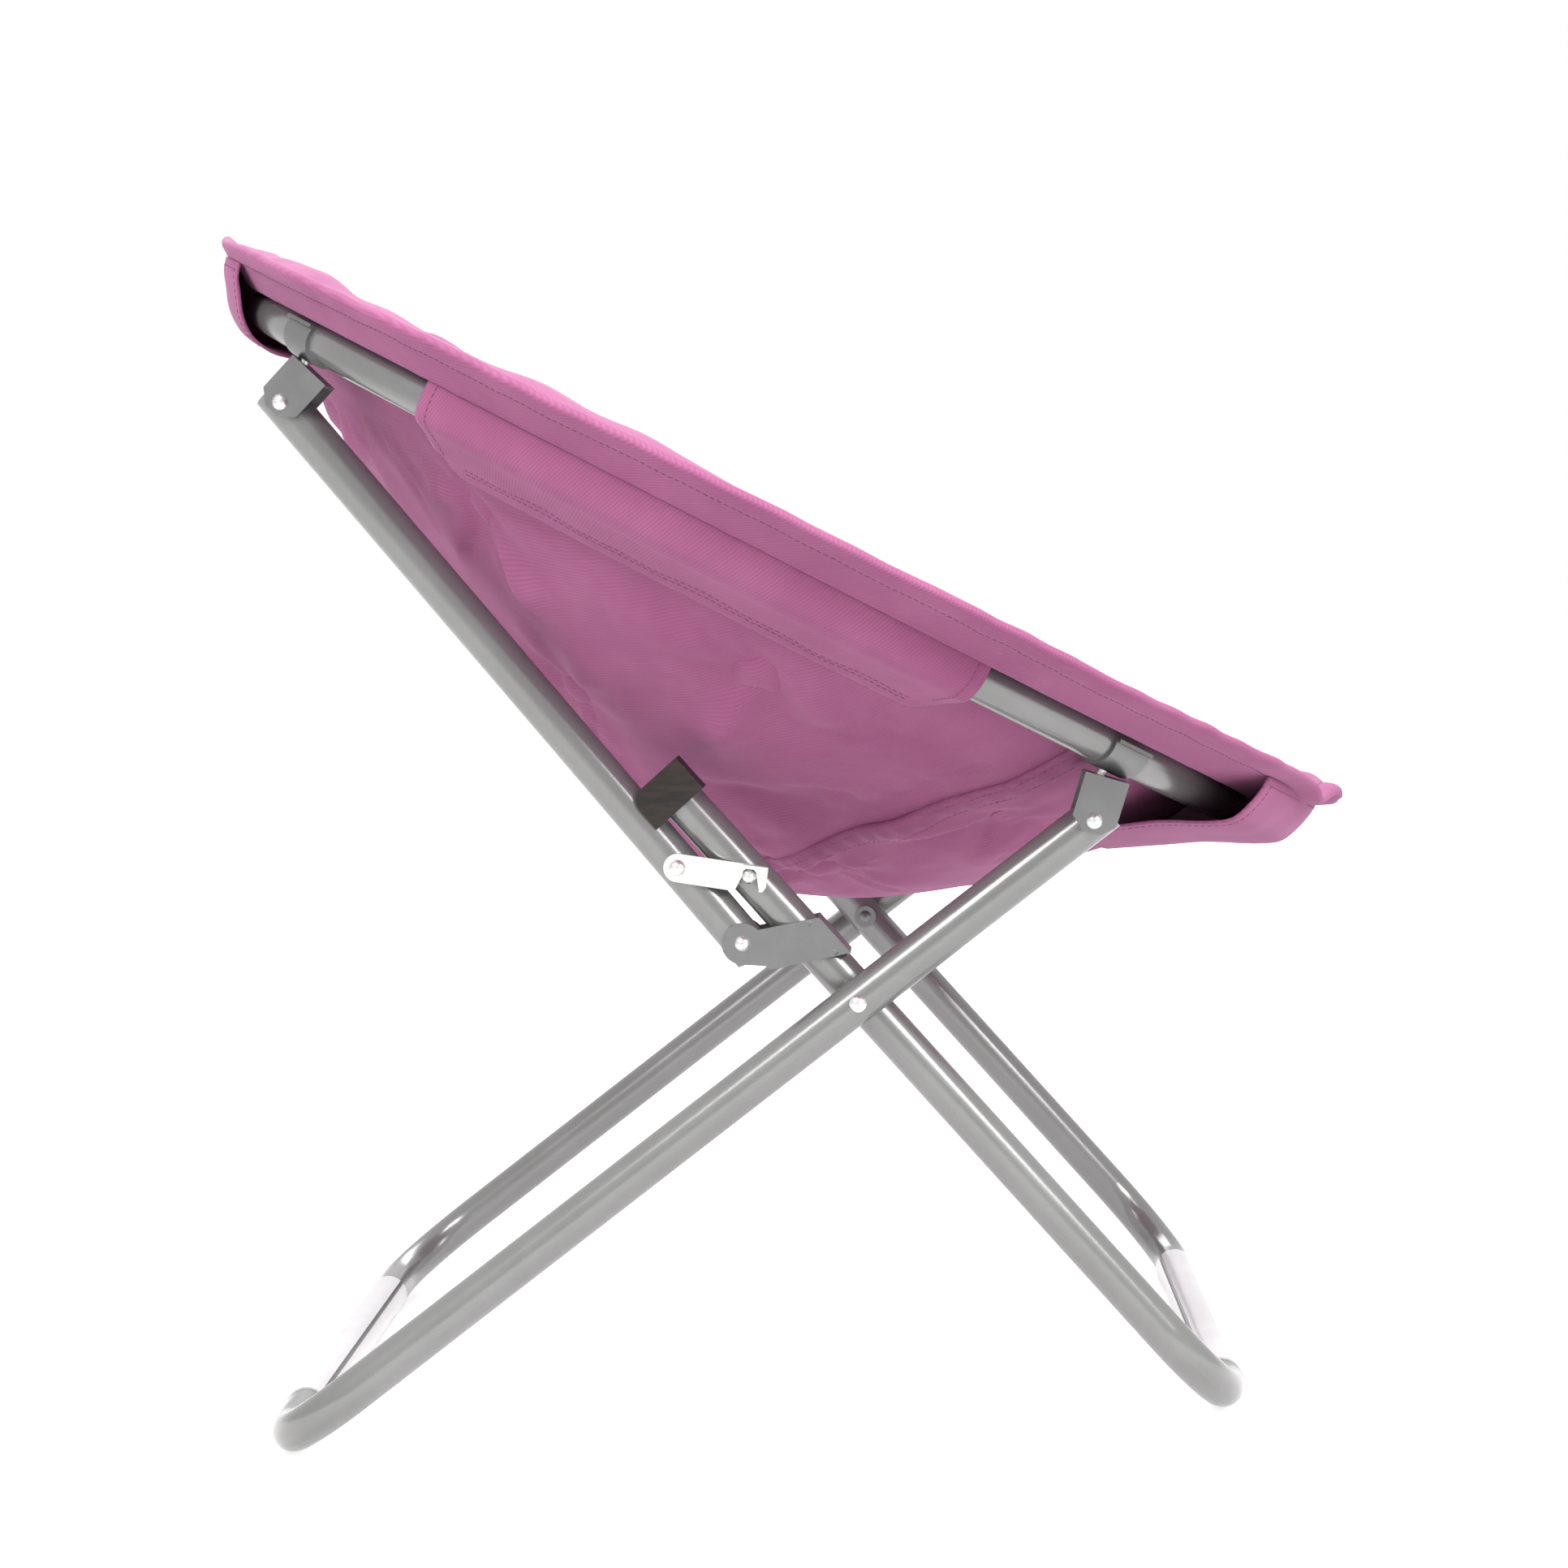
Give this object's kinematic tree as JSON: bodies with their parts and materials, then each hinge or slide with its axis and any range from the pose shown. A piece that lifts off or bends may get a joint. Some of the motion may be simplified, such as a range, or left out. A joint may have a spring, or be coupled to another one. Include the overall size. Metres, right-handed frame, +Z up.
{
  "type": "folding saucer chair",
  "caption": "Folding saucer chair: a deep round padded fabric seat on a steel hoop, carried by crossed tubular legs and struts that latch open and fold together.",
  "frame": {"origin": "on the floor, at the middle of the bounding box's footprint", "axes": "+X to the chair's front, +Y to the sitter's left, +Z up"},
  "size_m": [0.7092, 0.8076, 0.7515],
  "materials": {
    "tube_steel": "satin",
    "plate_steel": "satin",
    "zinc_steel": "satin",
    "cap_plastic": "satin",
    "sleeve_plastic": "satin",
    "seat_fabric": "matte"
  },
  "bodies": {
    "front_legs": {"front_leg_tube": "tube_steel", "front_foot_sleeve": "sleeve_plastic", "rest_cap_left": "cap_plastic", "rest_cap_right": "cap_plastic", "knuckle_bracket_left": "plate_steel", "knuckle_bracket_right": "plate_steel", "knuckle_rivets": "zinc_steel", "latch_pins": "zinc_steel", "scissor_spacers": "plate_steel", "scissor_tails": "plate_steel"},
    "back_struts": {"strut_left": "tube_steel", "strut_right": "tube_steel", "latch_rivets": "zinc_steel"},
    "left_latch": {"latch_left": "zinc_steel"},
    "right_latch": {"latch_right": "zinc_steel"},
    "seat": {"hoop_tube": "tube_steel", "saddle_rear_left": "plate_steel", "saddle_rear_right": "plate_steel", "saddle_front_left": "plate_steel", "saddle_front_right": "plate_steel", "clevis_rear_left": "plate_steel", "clevis_rear_right": "plate_steel", "clevis_front_left": "plate_steel", "clevis_front_right": "plate_steel", "saddle_rivets": "zinc_steel", "strut_pivot_rivets": "zinc_steel", "leg_pivot_rivets": "zinc_steel", "seat_cover": "seat_fabric", "side_sleeve_left": "seat_fabric", "side_sleeve_right": "seat_fabric", "front_pocket": "seat_fabric", "rear_pocket": "seat_fabric", "tuft_buttons": "seat_fabric", "seat_welt": "seat_fabric"},
    "rear_legs": {"rear_leg_tube": "tube_steel", "rear_foot_sleeve": "sleeve_plastic", "scissor_rivets": "zinc_steel"}
  },
  "joints": [
    {"name": "fold", "type": "hinge", "parent": "front_legs", "child": "back_struts", "pos_m": [-0.02569, 0, 0.30434], "axis": [0, -1, 0], "range_deg": [0, 150], "deforming": ["seat_cover", "tuft_buttons", "seat_welt"]},
    {"name": "seat_tilt", "type": "hinge", "parent": "back_struts", "child": "seat", "pos_m": [-0.282, 0, 0.63264], "axis": [0, -1, 0], "range_deg": [-22, 0]},
    {"name": "rear_leg_swing", "type": "hinge", "parent": "seat", "child": "rear_legs", "pos_m": [0.1811, 0, 0.37063], "axis": [0, -1, 0], "range_deg": [-43, 0]},
    {"name": "latch_lift_left", "type": "hinge", "parent": "back_struts", "child": "left_latch", "pos_m": [-0.06182, 0, 0.35061], "axis": [0, -1, 0], "range_deg": [0, 195]},
    {"name": "latch_lift_right", "type": "hinge", "parent": "back_struts", "child": "right_latch", "pos_m": [-0.06182, 0, 0.35061], "axis": [0, -1, 0], "range_deg": [0, 195]}
  ],
  "couplings": [
    {"joint": "seat_tilt", "follows": "fold", "ratio": -0.14609},
    {"joint": "rear_leg_swing", "follows": "fold", "ratio": -0.28611},
    {"joint": "latch_lift_left", "follows": "fold", "ratio": 1.3},
    {"joint": "latch_lift_right", "follows": "fold", "ratio": 1.3}
  ]
}
